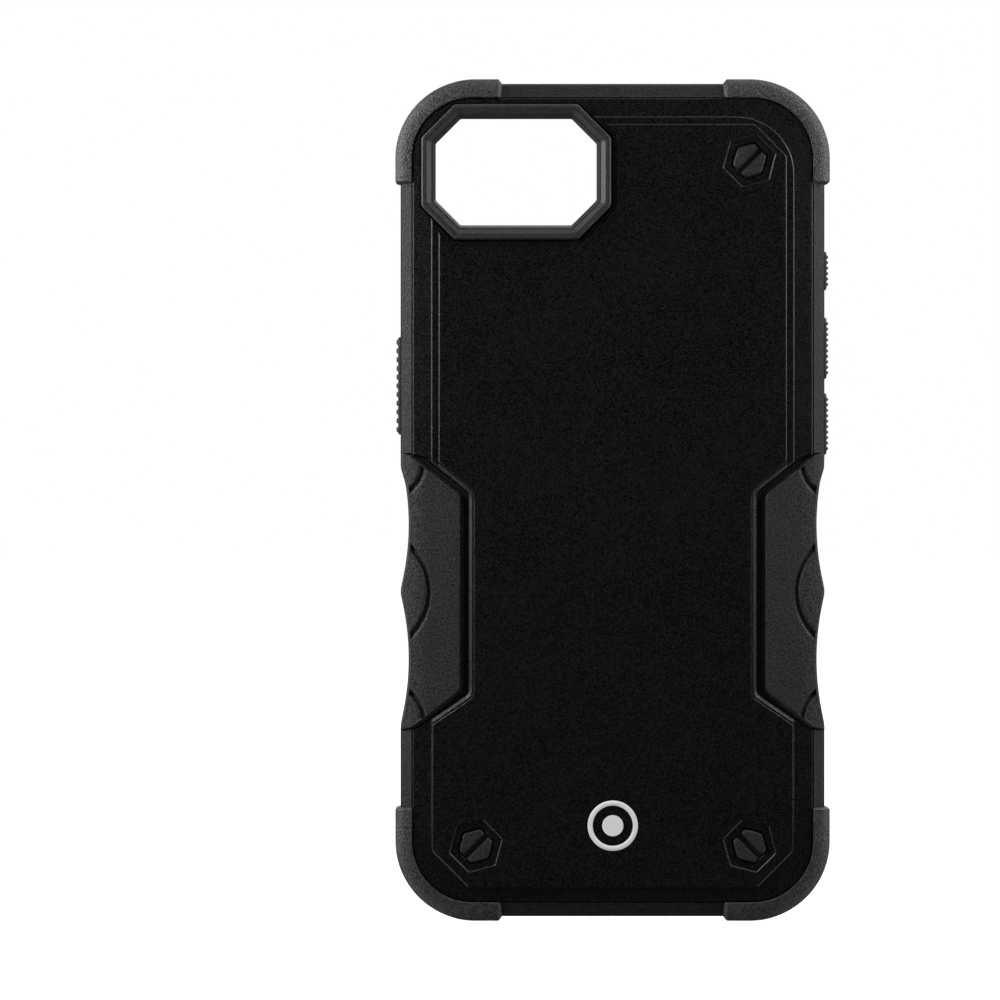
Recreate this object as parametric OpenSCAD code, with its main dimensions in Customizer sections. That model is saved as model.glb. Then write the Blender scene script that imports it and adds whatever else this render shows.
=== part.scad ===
// Rugged two-layer case for a flat phone, standing on its lower end.
// X runs across the case, Y from its closed back to its open front, Z up along its length.
// Every depth below is counted from the back panel's face, towards the front.

/* [Phone] */
// Width of the phone that the case holds
phone_w = 71.5; // [58:0.1:90]
// Length of the phone
phone_h = 146.7; // [140:0.1:180]
// Thickness of the phone
phone_d = 7.8; // [6.5:0.1:10]
// Corner radius of the phone, seen from the front
phone_r = 10.7; // [8:0.1:13]
// Room between the phone's edge and the sleeve
phone_gap = 0.15; // [0.05:0.05:0.4]
// Room over the phone's face, under the lip
face_gap = 0.2; // [0.1:0.05:0.5]

/* [Sleeve] */
// Wall of the soft sleeve along the sides
side_wall = 2.9; // [2.4:0.1:4]
// Wall of the soft sleeve at the top and bottom
end_wall = 2.7; // [2.2:0.1:4]
// Thickness of the sleeve's back, under the hard shell
sleeve_back = 1.0; // [0.8:0.1:2]
// Thickness of the front lip
lip_t = 1.4; // [1:0.1:2.5]
// How far the lip reaches over the phone's face
lip_over = 1.2; // [0.6:0.1:2]
// Drop of the lip's slope towards the screen
lip_slope = 0.7; // [0.2:0.1:0.9]
// Bevel between the side walls and the front rim
front_bevel = 1.7; // [0.8:0.1:2]
// Depth of the sleeve's rim beside the shell
rim_depth = 1.1; // [0.9:0.05:1.4]
// Drop of the back bevel from the rim to the side wall
back_bevel_d = 1.1; // [0.8:0.1:1.6]

/* [Shell] */
// Thickness of the hard back shell
shell_t = 1.5; // [1.2:0.05:2]
// Distance from the side wall to the shell's edge
shell_inset_side = 2.2; // [1.6:0.1:2.6]
// Distance from the end walls to the shell's edge
shell_inset_end = 2.7; // [1.6:0.1:3]
// Depth of the shell's outer edge line
shell_edge_depth = 0.85; // [0.6:0.05:1]
// Width of the sloping band round the shell
shell_band = 3.6; // [2.5:0.1:5]
// Height of the raised centre panel
panel_step = 0.3; // [0.15:0.05:0.4]
// Distance from the band to the panel's edge
panel_inset = 1.2; // [0.6:0.1:2.5]
// Leg of the panel's cut corners
panel_corner = 5.8; // [3:0.1:8]

/* [Camera ring] */
// Outer width of the camera ring
ring_w = 34.7; // [30:0.1:38]
// Outer height of the camera ring
ring_h = 24.7; // [20:0.1:28]
// Width of the ring's band
ring_band = 2.65; // [2:0.05:3.5]
// Leg of the ring's outer cut corners
ring_corner = 6.1; // [5:0.1:8]
// How far the ring stands proud of the panel
ring_proud = 0.8; // [0.3:0.1:1.5]
// Distance from the side wall to the ring
ring_from_side = 3.8; // [3.6:0.1:6]
// Distance from the top wall to the ring
ring_from_top = 3.9; // [3.8:0.1:6]

/* [Corner bumpers] */
// How far the bumpers stand out of the side walls
bumper_side = 0.95; // [0.5:0.05:1.5]
// How far the bumpers stand out of the end walls
bumper_end = 0.8; // [0.4:0.05:1.5]
// Rise of the bumpers over the back bevel
bumper_rise = 0.5; // [0.3:0.05:0.7]
// Distance from the side wall to a bumper's end on the top and bottom
bumper_across = 18.8; // [16:0.1:24]
// Distance from the top wall to an upper bumper's end
bumper_down = 18.3; // [16:0.1:24]
// Distance from the bottom wall to a lower bumper's end
bumper_up = 20.0; // [16:0.1:24]
// Depth at which the bumpers' feet start, which keeps the empty case upright
foot_depth = 1.5; // [1.2:0.1:2.2]
// How deep the bumpers are let into the sleeve
bumper_seat = 1.0; // [0.6:0.1:1.4]

/* [Grips] */
// Length of the side grips
grip_len = 51.2; // [44:0.1:54]
// How far the grips' backs reach up past the lower end of the lowest button
grip_past_button = 0.6; // [0:0.1:2]
// Distance from the lowest button's opening down to the grips' side parts
grip_below_button = 0.7; // [0.4:0.1:3]
// How far a grip reaches in from the side wall
grip_w = 10.9; // [8:0.1:14]
// Depth of the grips' back face
grip_depth = 0.35; // [0.1:0.05:0.6]
// Thickness of a grip over the side wall
grip_side_t = 2.0; // [1.8:0.1:2.2]
// Depth of the two finger hollows in each grip
hollow_depth = 1.5; // [0.5:0.1:1.6]
// Length of each finger hollow
hollow_len = 23.8; // [18:0.1:25]
// Width of the curved grooves in a grip
groove_w = 0.75; // [0.4:0.05:1.2]

/* [Buttons] */
// Lengths of the action, volume up, volume down and side buttons
button_len = [7.1, 11.3, 11.3, 17.9];
// Distances from the phone's top to the middle of each button
button_down = [31.3, 45.5, 59.4, 52.4];
// Distances between the ribs on each button
rib_pitch = [1.0, 1.0, 1.0, 1.6];
// Width of the buttons, along the case's depth
button_w = 4.0; // [3:0.1:5]
// How far the buttons stand out of the side wall
button_proud = 0.8; // [0.4:0.05:0.95]
// Travel of each button
button_travel = 0.4; // [0.2:0.05:0.5]
// Width of the thin web round each button
web_w = 0.9; // [0.6:0.1:1.2]
// Thickness of the web
web_t = 0.5; // [0.3:0.05:0.8]

/* [Studs and badge] */
// Distance from the side walls to the middle of a stud pair
stud_inset = 13.8; // [13:0.1:16]
// Corner radius of the hexagonal recess round a stud pair
stud_recess_r = 5.05; // [4:0.05:5.3]
// Corner radius of the hexagon that the two studs share
stud_r = 3.1; // [2:0.05:3.5]
// Width of the slot between two studs
stud_slot = 1.5; // [0.8:0.1:2]
// Radius of the round badge
badge_r = 4.6; // [3:0.1:6]
// Distance from the bottom wall to the badge's middle
badge_up = 16.7; // [12:0.1:30]

/* [Charging port] */
// Width of the opening for the charging plug
port_w = 13; // [10:0.1:16]
// Height of the opening for the charging plug
port_h = 6.2; // [5:0.1:6.6]

/* [Hidden] */
$fn = 64;

fit = 0.1;        // clearance between pieces that drop into each other
web_fit = 0.05;   // clearance between a web and the button in it
past = 1;         // how far a cut runs past what it cuts
seat_depth = shell_t + sleeve_back;
pocket_depth = phone_d + face_gap;
case_d = seat_depth + pocket_depth + lip_t;
body_w = phone_w + 2 * (phone_gap + side_wall);
body_h = phone_h + 2 * (phone_gap + end_wall);
body_r = phone_r + phone_gap + side_wall;
bottom_z = bumper_end;
top_z = bottom_z + body_h;
mid_z = (bottom_z + top_z) / 2;
back_y = ring_proud - (case_d + ring_proud) / 2;
phone_top_z = top_z - end_wall - phone_gap;
phone_mid_depth = seat_depth + pocket_depth / 2;
shell_w = body_w - 2 * shell_inset_side;
shell_h = body_h - 2 * shell_inset_end;
shell_r = body_r - shell_inset_side - 0.5;
ring_x0 = -body_w / 2 + ring_from_side;
ring_z1 = top_z - ring_from_top;
window_gap = 0.3;          // between the camera ring and its window in the shell
window_slope = 0.75;       // bevel of that window's edge
button_side = [1, 1, 1, -1];
rib_h = 0.3;
button_r = 1.1;            // corner radius of a button seen from the side
button_inner_gap = button_travel + 0.2;   // from the pocket's wall to a button's inner end
lowest_button_z = phone_top_z - button_down[2] - button_len[2] / 2;
grip_top_z = lowest_button_z + grip_past_button;
grip_mid_z = grip_top_z - grip_len / 2;
grip_front = case_d - front_bevel - 0.2;   // depth at which the grips end on the side walls
badge_depth = 0.15;
bed_depth = rim_depth + bumper_seat * 0.8;   // depth of the bumpers' seat beside the shell

// ---- outlines: loops of [x, z] points, anticlockwise as seen from behind ----

// An octagon: a rectangle with cut corners, moved in by e on every side.
function octagon(x0, x1, z0, z1, c, e) =
  let (k = c - e * (2 - sqrt(2)), a = x0 + e, b = x1 - e, p = z0 + e, q = z1 - e)
  [[a + k, p], [b - k, p], [b, p + k], [b, q - k], [b - k, q], [a + k, q], [a, q - k], [a, p + k]];

// The camera ring's outline. Its cut corners grow with the shell's round corner, so that
// the shell keeps a narrow strip all round the ring.
function ring_outline(e) =
  let (strip = window_gap + 0.345, a = ring_from_side - shell_inset_side, b = ring_from_top - shell_inset_end,
       leg = shell_r - a - sqrt(pow(shell_r - strip, 2) - pow(shell_r - b, 2)))
  octagon(ring_x0, ring_x0 + ring_w, ring_z1 - ring_h, ring_z1, max(ring_corner, leg), e);

// Right-hand opening in the shell for a grip, made smaller by e; it runs out past the side wall.
function grip_window(e) =
  let (x0 = body_w / 2 - grip_w - 2.4 + e, x1 = body_w / 2 + 5, top = grip_top_z + 0.3 - e,
       low = grip_top_z - grip_len - 0.6 + e, s = grip_w - 1.6)
  [[x1, low], [x1, top], [x0 + s, top], [x0 + 0.5, top - s * 0.75], [x0, top - s * 0.75 - 1.1],
   [x0, low + s * 0.72 + 0.9], [x0 + 0.5, low + s * 0.72], [x0 + s + 1.1, low]];

// Right-hand grip's outline on the back.
function grip_outline() =
  let (x0 = body_w / 2 - grip_w, x1 = body_w / 2 + 5, top = grip_top_z, low = top - grip_len)
  [[x1, low], [x1, top], [x0 + 9.3, top - 0.4], [x0 + 0.3, top - 7.7], [x0, top - 8.6],
   [x0, low + 8.2], [x0 + 0.3, low + 7.3], [x0 + 8.9, low + 0.4]];

// ---- solids ----

// A prism of a loop between two depths.
module plate(loop, d0, d1) {
  translate([0, back_y + d1, 0]) rotate([90, 0, 0]) linear_extrude(d1 - d0) polygon(loop);
}

// A closed solid between two loops of equally many points, at two depths.
module taper(loop0, d0, loop1, d1) {
  n = len(loop0);
  polyhedron(
    points = concat([for (p = loop0) [p[0], back_y + d0, p[1]]], [for (p = loop1) [p[0], back_y + d1, p[1]]]),
    faces = concat(
      [[for (i = [n - 1:-1:0]) i], [for (i = [0:n - 1]) n + i]],
      [for (i = [0:n - 1]) [i, (i + 1) % n, n + (i + 1) % n]],
      [for (i = [0:n - 1]) [i, n + (i + 1) % n, n + i]]
    )
  );
}

// A flat slab with a w by h outline, round corners and any edge profile,
// given from back to front as [distance in from the outline, depth].
module slab(w, h, r, edge) {
  cx = w / 2 - r;
  cz = h / 2 - r;
  last = edge[len(edge) - 1];
  quarter = concat([[0, edge[0][1]]], [for (p = edge) [r - p[0], p[1]]], [[0, last[1]]]);
  translate([0, back_y, mid_z]) {
    translate([0, 0, -cz]) linear_extrude(2 * cz) both_sides(cx + r, edge);
    rotate([0, -90, 0]) translate([0, 0, -cx]) linear_extrude(2 * cx) both_sides(cz + r, edge);
    for (sx = [-1, 1], sz = [-1, 1])
      translate([sx * cx, 0, sz * cz])
        rotate([-90, 0, 0]) rotate([0, 0, sx > 0 ? (sz > 0 ? -90 : 0) : (sz > 0 ? 180 : 90)])
          rotate_extrude(angle = 90) polygon(quarter);
  }
}

// The slab's cross-section: its edge profile on both sides of the middle.
module both_sides(half, edge) {
  n = len(edge);
  polygon(concat([for (p = edge) [half - p[0], p[1]]],
                 [for (i = [n - 1:-1:0]) [edge[i][0] - half, edge[i][1]]]));
}

// A slab inside the body's outline, with plain square edges.
module inset_slab(side, end, r, d0, d1) {
  slab(body_w - 2 * side, body_h - 2 * end, r, [[0, d0], [0, d1]]);
}

// The soft body's full outer form, before anything is cut from it.
module body_form() {
  slab(body_w, body_h, body_r, [
    [shell_inset_side, rim_depth], [0, rim_depth + back_bevel_d],
    [0, case_d - front_bevel], [front_bevel, case_d]
  ]);
}

// What the bumpers are seated on: the body made smaller all round by the seat.
module bumper_bed() {
  slab(body_w - 2 * bumper_seat, body_h - 2 * bumper_seat, body_r - bumper_seat, [
    [shell_inset_side - bumper_seat, bed_depth], [0, bed_depth + back_bevel_d * 0.75],
    [0, case_d - front_bevel - bumper_seat / 2], [front_bevel - bumper_seat / 2, case_d]
  ]);
}

// The stretch of the rim that one corner bumper covers, with sloping ends.
module corner_zone(sx, top) {
  reach = 4;
  slope = top ? 1 : 2.7;
  up = top ? bumper_down : bumper_up;
  xe = body_w / 2 - bumper_across;
  s = body_w / 2;
  ze = body_h / 2 - up;
  far = body_h / 2 + reach;
  translate([0, 0, mid_z]) scale_z(top) scale_x(sx)
    translate([0, back_y + case_d + past, 0]) rotate([90, 0, 0]) linear_extrude(case_d + 2 * past)
      polygon([[xe - reach, body_h / 2 - reach], [s - reach, ze - reach * slope],
               [s + reach, ze + reach * slope], [s + 2 * reach, far], [xe + reach, far]]);
}

module scale_x(side) {
  mirror([side < 0 ? 1 : 0, 0, 0]) children();
}

module scale_z(top) {
  mirror([0, 0, top ? 0 : 1]) children();
}

// A hole or a bar along X with a rounded outline of len by w, at a button's place.
module button_bar(i, len, w, r, x0, x1) {
  z = phone_top_z - button_down[i];
  scale_x(button_side[i]) translate([x0, back_y + phone_mid_depth, z])
    rotate([0, 90, 0]) linear_extrude(x1 - x0) round_rect(len, w, r);
}

module round_rect(a, b, r) {
  square([a - 2 * r, b], center = true);
  square([a, b - 2 * r], center = true);
  for (sa = [-1, 1], sb = [-1, 1]) translate([sa * (a / 2 - r), sb * (b / 2 - r)]) circle(r);
}

// Two long shallow hollows for the fingers, cut from both side walls.
module finger_hollows() {
  chord = hollow_len / 2;
  r = (chord * chord + hollow_depth * hollow_depth) / (2 * hollow_depth);
  for (sx = [-1, 1], sz = [-1, 1])
    translate([sx * (body_w / 2 - hollow_depth + r), back_y - past, grip_mid_z + sz * (chord + 0.35)])
      rotate([-90, 0, 0]) cylinder(r = r, h = case_d + 2 * past, $fn = 180);
}

// The space in the sleeve's side that one grip fills.
module grip_space() {
  difference() {
    plate(grip_outline(), -past, grip_front);
    inset_slab(grip_side_t, 0, body_r - grip_side_t, shell_t, case_d);
    below_button();
  }
}

// The top of a grip's side, left to the sleeve so that the lowest button's opening has a wall.
module below_button() {
  x = body_w / 2 - grip_w;
  z = lowest_button_z - web_w - grip_below_button;
  plate([[x, z], [x + 2 * grip_w, z], [x + 2 * grip_w, grip_top_z + past], [x, grip_top_z + past]],
        phone_mid_depth - button_w / 2 - web_w - 0.4, case_d);
}

module camera_opening(extra, d0, d1) {
  plate(ring_outline(ring_band - extra), d0, d1);
}

// A hexagon seen from the back with flat sides across the diagonal to its corner.
function hexagon(r) = [for (k = [0:5]) r * [cos(15 + 60 * k), sin(15 + 60 * k)]];

module at_stud_pair(sx, top) {
  translate([0, 0, mid_z]) scale_z(top) scale_x(sx)
    translate([body_w / 2 - stud_inset, 0, body_h / 2 - stud_inset - (top ? 0.4 : -0.8)]) children();
}

module stud_recess(sx, top) {
  at_stud_pair(sx, top) {
    plate(hexagon(stud_recess_r), -past, panel_step * 0.8);
    plate(hexagon(stud_r + 0.45), -past, shell_t + past);
  }
}

// ---- pieces ----

module inner_sleeve() {
  color("#2b2a28") difference() {
    body_form();
    inset_slab(shell_inset_side - fit, shell_inset_end - fit, shell_r + fit, -past, shell_t);
    slab(phone_w + 2 * phone_gap, phone_h + 2 * phone_gap, phone_r + phone_gap,
         [[0, seat_depth], [0, seat_depth + pocket_depth]]);
    slab(phone_w + 2 * (phone_gap - lip_over), phone_h + 2 * (phone_gap - lip_over),
         phone_r + phone_gap - lip_over,
         [[0, seat_depth + pocket_depth - past], [0, case_d - lip_slope], [-lip_slope, case_d],
          [-lip_slope, case_d + past]]);
    for (sx = [-1, 1], top = [false, true])
      difference() {
        corner_zone(sx, top);
        bumper_bed();
      }
    for (sx = [-1, 1]) scale_x(sx) grip_space();
    finger_hollows();
    camera_opening(0.4, 0, seat_depth + past);
    for (i = [0:3])
      button_bar(i, button_len[i] + 2 * web_w, button_w + 2 * web_w, button_r + web_w,
                 body_w / 2 - side_wall - past, body_w / 2 + past);
    translate([0, back_y + phone_mid_depth, bottom_z - past]) {
      linear_extrude(end_wall + 2 * past) round_rect(port_w, port_h, port_h / 2 - 0.1);
      for (sx = [-1, 1]) translate([sx * (port_w / 2 + 7.2), 0, 0])
        linear_extrude(end_wall + 2 * past) round_rect(7.6, 2, 0.9);
    }
  }
}

module outer_shell() {
  color("#141414") difference() {
    union() {
      slab(shell_w, shell_h, shell_r, [[0, shell_t], [0, shell_edge_depth], [shell_band, panel_step]]);
      centre_panel();
    }
    taper(ring_outline(-window_gap - 2 * window_slope), -window_slope, ring_outline(-window_gap), window_slope);
    plate(ring_outline(-window_gap), -past, shell_t + past);
    for (sx = [-1, 1]) scale_x(sx) {
      taper(grip_window(-0.6), -0.4, grip_window(1.1), shell_edge_depth);
      plate(grip_window(1.1), 0, shell_t + past);
    }
    stud_recess(1, true);
    stud_recess(1, false);
    stud_recess(-1, false);
    badge_place() cylinder(r = badge_r, h = badge_depth + past);
  }
}

// The raised middle of the shell: a rectangle with cut corners, a little wider below the grips.
module centre_panel() {
  x_up = shell_w / 2 - shell_band - panel_inset;
  x_low = shell_w / 2 - shell_band;
  z_up = mid_z + shell_h / 2 - shell_band - panel_inset;
  z_low = mid_z - shell_h / 2 + shell_band - 0.9;
  plate(octagon(-x_up, x_up, grip_mid_z - 5, z_up, panel_corner, 0), 0, panel_step + 0.2);
  plate(octagon(-x_low, x_low, z_low, grip_mid_z + 5, panel_corner, 0), 0, panel_step + 0.2);
}

module camera_ring() {
  edge = 0.4;
  slope = 1.15;
  color("#333331") difference() {
    union() {
      plate(ring_outline(0), edge - ring_proud, shell_t);
      taper(ring_outline(edge), -ring_proud, ring_outline(0), edge - ring_proud);
    }
    camera_opening(0, -ring_proud - past, shell_t + past);
    taper(ring_outline(ring_band - slope - 0.2), -ring_proud - 0.2, ring_outline(ring_band), slope - ring_proud);
  }
}

module grip(side) {
  lens_r = 11.5;
  arc_r = 6.2;
  color("#3a3a39") scale_x(side) difference() {
    intersection() {
      plate(grip_outline(), grip_depth, grip_front);
      slab(body_w, body_h, body_r, [
        [shell_inset_side * 1.5, grip_depth], [0, rim_depth + back_bevel_d], [0, case_d]
      ]);
    }
    inset_slab(grip_side_t, 0, body_r - grip_side_t, shell_t, case_d);
    finger_hollows();
    below_button();
    groove(body_w / 2 - 5.2 + lens_r, grip_mid_z, lens_r);
    for (sz = [-1, 1]) groove(body_w / 2 - 4.2 + arc_r, grip_mid_z + sz * (grip_len / 2 - 2.2), arc_r);
  }
}

// A shallow ring-shaped groove in a grip's back face.
module groove(x, z, r) {
  translate([x, back_y + grip_depth - past, z]) rotate([-90, 0, 0]) difference() {
    cylinder(r = r + groove_w / 2, h = past + 0.5);
    translate([0, 0, -past]) cylinder(r = r - groove_w / 2, h = 3 * past);
  }
}

module bumper(sx, top) {
  lift = bumper_rise * 1.2;
  run = shell_inset_end + fit;
  color("#44433f") difference() {
    intersection() {
      corner_zone(sx, top);
      slab(body_w + 2 * bumper_side, body_h + 2 * bumper_end, body_r + bumper_end, [
        [run + bumper_side, rim_depth - lift], [0, foot_depth],
        [0, case_d - front_bevel - bumper_side], [bumper_side + front_bevel - 0.4, case_d]
      ]);
    }
    bumper_bed();
    inset_slab(shell_inset_side - fit, shell_inset_end - fit, shell_r + fit, -past, bed_depth + 0.3);
  }
}

module stud_pair(sx, top) {
  base_t = 0.5;
  color("#4a4a48") at_stud_pair(sx, top) {
    plate(hexagon(stud_r + 0.35), shell_t - base_t, shell_t);
    intersection() {
      plate(hexagon(stud_r), 0.05, shell_t);
      rotate([0, 45, 0]) for (s = [-1, 1])
        translate([s * (stud_slot / 2 + stud_r), back_y + shell_t / 2, 0])
          cube([2 * stud_r, 2 * shell_t, 1.75 * stud_r], center = true);
    }
  }
}

module badge_place() {
  translate([0, back_y + badge_depth, bottom_z + badge_up]) rotate([90, 0, 0]) children();
}

module badge() {
  ring_t = badge_r * 0.2;
  color("#9a9a98") badge_place() {
    difference() {
      cylinder(r = badge_r, h = badge_depth);
      translate([0, 0, -past]) cylinder(r = badge_r - ring_t, h = badge_depth + 2 * past);
    }
    cylinder(r = badge_r * 0.42, h = badge_depth);
  }
}

module button(i) {
  face = body_w / 2 + button_proud - rib_h;
  ribs = floor((button_len[i] - 1.6) / rib_pitch[i]);
  color("#3d3d3b") {
    button_bar(i, button_len[i], button_w, button_r, body_w / 2 - side_wall + button_inner_gap, face);
    scale_x(button_side[i]) for (k = [0:ribs])
      translate([face - 0.1, back_y + phone_mid_depth - button_w / 2 + 0.4,
                 phone_top_z - button_down[i] + (k - ribs / 2) * rib_pitch[i] - rib_pitch[i] * 0.3])
        cube([rib_h + 0.1, button_w - 0.8, rib_pitch[i] * 0.6]);
  }
}

module web(i) {
  outer = body_w / 2 - 0.35;
  color("#262626") difference() {
    button_bar(i, button_len[i] + 2 * web_w, button_w + 2 * web_w, button_r + web_w, outer - web_t, outer);
    button_bar(i, button_len[i] + 2 * web_fit, button_w + 2 * web_fit, button_r + web_fit,
               outer - web_t - past, outer + past);
  }
}

inner_sleeve();
outer_shell();
camera_ring();
grip(-1);  // grip_left
grip(1);  // grip_right
bumper(-1, true);  // bumper_top_left
bumper(1, true);  // bumper_top_right
bumper(-1, false);  // bumper_bottom_left
bumper(1, false);  // bumper_bottom_right
stud_pair(1, true);  // stud_pair_top_right
stud_pair(-1, false);  // stud_pair_bottom_left
stud_pair(1, false);  // stud_pair_bottom_right
badge();
button(0);  // action_button
button(1);  // volume_up_button
button(2);  // volume_down_button
button(3);  // side_button
web(0);  // action_button_web
web(1);  // volume_up_web
web(2);  // volume_down_web
web(3);  // side_button_web
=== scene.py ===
import math

import bmesh
import bpy
import numpy as np
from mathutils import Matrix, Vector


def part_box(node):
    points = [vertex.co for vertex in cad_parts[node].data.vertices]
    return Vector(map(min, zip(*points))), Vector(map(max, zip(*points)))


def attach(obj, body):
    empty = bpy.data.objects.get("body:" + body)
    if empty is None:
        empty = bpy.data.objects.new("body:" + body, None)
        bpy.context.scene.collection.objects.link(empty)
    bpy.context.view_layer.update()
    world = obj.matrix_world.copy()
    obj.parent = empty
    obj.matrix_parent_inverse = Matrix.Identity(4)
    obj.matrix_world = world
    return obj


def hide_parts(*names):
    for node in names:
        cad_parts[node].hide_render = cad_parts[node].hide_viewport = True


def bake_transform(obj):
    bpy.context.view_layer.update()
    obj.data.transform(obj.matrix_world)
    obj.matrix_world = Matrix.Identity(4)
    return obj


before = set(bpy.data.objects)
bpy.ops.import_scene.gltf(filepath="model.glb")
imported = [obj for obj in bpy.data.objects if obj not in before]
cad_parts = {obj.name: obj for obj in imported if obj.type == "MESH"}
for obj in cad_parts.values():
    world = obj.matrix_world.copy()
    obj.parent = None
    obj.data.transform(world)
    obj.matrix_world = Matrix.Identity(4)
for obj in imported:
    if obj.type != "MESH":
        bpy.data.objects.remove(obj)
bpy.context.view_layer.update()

mm = 0.001                              # every size below is in millimetres
sleeveLow, sleeveHigh = (np.array(corner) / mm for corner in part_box("inner_sleeve"))
shellLow, shellHigh = (np.array(corner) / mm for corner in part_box("outer_shell"))
panelY = shellLow[1]                    # the back panel's face: depths count from here to the front
caseDepth = sleeveHigh[1] - panelY
halfW = sleeveHigh[0]
halfH = (sleeveHigh[2] - sleeveLow[2]) / 2
midZ = (sleeveHigh[2] + sleeveLow[2]) / 2


# Rounds the corners of a run of points: a corner B becomes (1-t)^2 P + 2t(1-t) B + t^2 Q,
# where P and Q lie on the two straight runs, a cut away from B. A cut of 0 keeps the corner.
def eased(corners, cuts, steps=4, closed=False, measure=slice(None)):
    corners = np.asarray(corners, float)
    cuts = np.broadcast_to(np.asarray(cuts, float), len(corners))
    t = np.linspace(0, 1, steps + 1)[:, None]
    count = len(corners)
    parts = []
    for k, (corner, cut) in enumerate(zip(corners, cuts)):
        if cut == 0 or (not closed and k in (0, count - 1)):
            parts.append(corner[None])
            continue
        ends = []
        for other in (corners[k - 1], corners[(k + 1) % count]):
            run = other - corner
            length = np.linalg.norm(run[measure])
            ends.append(corner + run * min(cut / length, 0.49))
        parts.append((1 - t) ** 2 * ends[0] + 2 * t * (1 - t) * corner + t ** 2 * ends[1])
    return np.concatenate(parts)


# Moves every side of a closed loop inwards by e: a corner goes along its bisector.
def inwards(loop, e):
    loop = np.asarray(loop, float)
    forward = np.roll(loop, -1, 0) - loop
    forward /= np.linalg.norm(forward, axis=1)[:, None]
    inner = np.stack([-forward[:, 1], forward[:, 0]], 1)
    before = np.roll(inner, 1, 0)
    share = 1 + (inner * before).sum(1)[:, None]
    return loop + e * (inner + before) / share


# Loops of a rounded rectangle, one for each row of half width, half height and radius:
# x = sx (w - r) + r cos a, z = sz (h - r) + r sin a, where sx and sz slide from -1 to 1
# along a side and a turns by 90 degrees at a corner.
def roundRectLoops(w, h, r, alongSide=90, alongEnd=12, perCorner=20):
    turn = np.linspace(0, math.pi / 2, perCorner + 1)
    up = np.linspace(-1, 1, alongSide + 1)[1:-1]
    over = np.linspace(1, -1, alongEnd + 1)[1:-1]
    one = np.ones_like
    runs = [
        (one(up), up, 0 * up),
        (one(turn), one(turn), turn),
        (over, one(over), 0 * over + math.pi / 2),
        (-one(turn), one(turn), turn + math.pi / 2),
        (-one(up), -up, 0 * up + math.pi),
        (-one(turn), -one(turn), turn + math.pi),
        (-over, -one(over), 0 * over + 1.5 * math.pi),
        (one(turn), -one(turn), turn + 1.5 * math.pi),
    ]
    sx, sz, angle = (np.concatenate(part) for part in zip(*runs))
    w, h, r = (np.atleast_1d(np.asarray(v, float))[:, None] for v in (w, h, r))
    return np.stack([sx * (w - r) + r * np.cos(angle), sz * (h - r) + r * np.sin(angle)], -1)


# Faces of a grid of points that wraps round in its second direction. Its first and last rows
# are closed by flat faces, or a hoop wraps round in the first direction too.
def gridFaces(rows, cols, hoop):
    i, j = np.meshgrid(np.arange(rows if hoop else rows - 1), np.arange(cols), indexing="ij")
    k, below = (j + 1) % cols, (i + 1) % rows
    quads = np.stack([i * cols + j, i * cols + k, below * cols + k, below * cols + j], -1)
    ends = [] if hoop else [list(range(cols)), list(range((rows - 1) * cols, rows * cols))]
    return quads.reshape(-1, 4).tolist() + ends


# One closed mesh object from one or more grids of points in millimetres.
def solid(name, *grids, hoop=False):
    points, faces = [], []
    start = 0
    for grid in grids:
        rows, cols = grid.shape[:2]
        points.append(grid.reshape(-1, 3))
        faces += [[start + v for v in face] for face in gridFaces(rows, cols, hoop)]
        start += rows * cols
    mesh = bpy.data.meshes.new(name)
    mesh.from_pydata(np.concatenate(points) * mm, [], faces)
    work = bmesh.new()
    work.from_mesh(mesh)
    bmesh.ops.remove_doubles(work, verts=work.verts, dist=1e-7)
    bmesh.ops.recalc_face_normals(work, faces=work.faces)
    work.to_mesh(mesh)
    work.free()
    piece = bpy.data.objects.new(name, mesh)
    bpy.context.scene.collection.objects.link(piece)
    return piece


# Points seen from behind as (x, z), put at a depth.
def atDepth(loops, depth):
    depth = np.broadcast_to(np.asarray(depth, float).reshape(-1, 1), loops.shape[:2])
    return np.stack([loops[..., 0], panelY + depth, loops[..., 1]], -1)


# A plate with an edge profile: rows of (distance in from the outline, depth) carry the outline.
def plateGrid(outline, profile, cut, steps=4):
    profile = np.asarray(profile, float)
    loops = np.stack([eased(inwards(outline, e), cut, steps, closed=True) for e in profile[:, 0]])
    return atDepth(loops, profile[:, 1])


# The same for a bar along X: the outline is seen from the side as (y, z), rows are (distance in, x).
def barGrid(outline, profile, cut, side, steps=6):
    profile = np.asarray(profile, float)
    loops = np.stack([eased(inwards(outline, e), cut, steps, closed=True) for e in profile[:, 0]])
    x = np.broadcast_to(side * profile[:, 1][:, None], loops.shape[:2])
    return np.stack([x, loops[..., 0], loops[..., 1]], -1)


# Corners of a rectangle, anticlockwise from the lowest pair.
def rectangle(a0, a1, b0, b1):
    return [(a0, b0), (a1, b0), (a1, b1), (a0, b1)]


# Cuts or joins another closed mesh, then removes it.
def combine(piece, other, operation):
    change = piece.modifiers.new("combine", "BOOLEAN")
    change.operation = operation
    change.solver = "EXACT"
    change.object = other
    graph = bpy.context.evaluated_depsgraph_get()
    graph.update()
    mesh = bpy.data.meshes.new_from_object(piece.evaluated_get(graph))
    piece.modifiers.remove(change)
    piece.data = mesh
    bpy.data.objects.remove(other)


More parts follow.
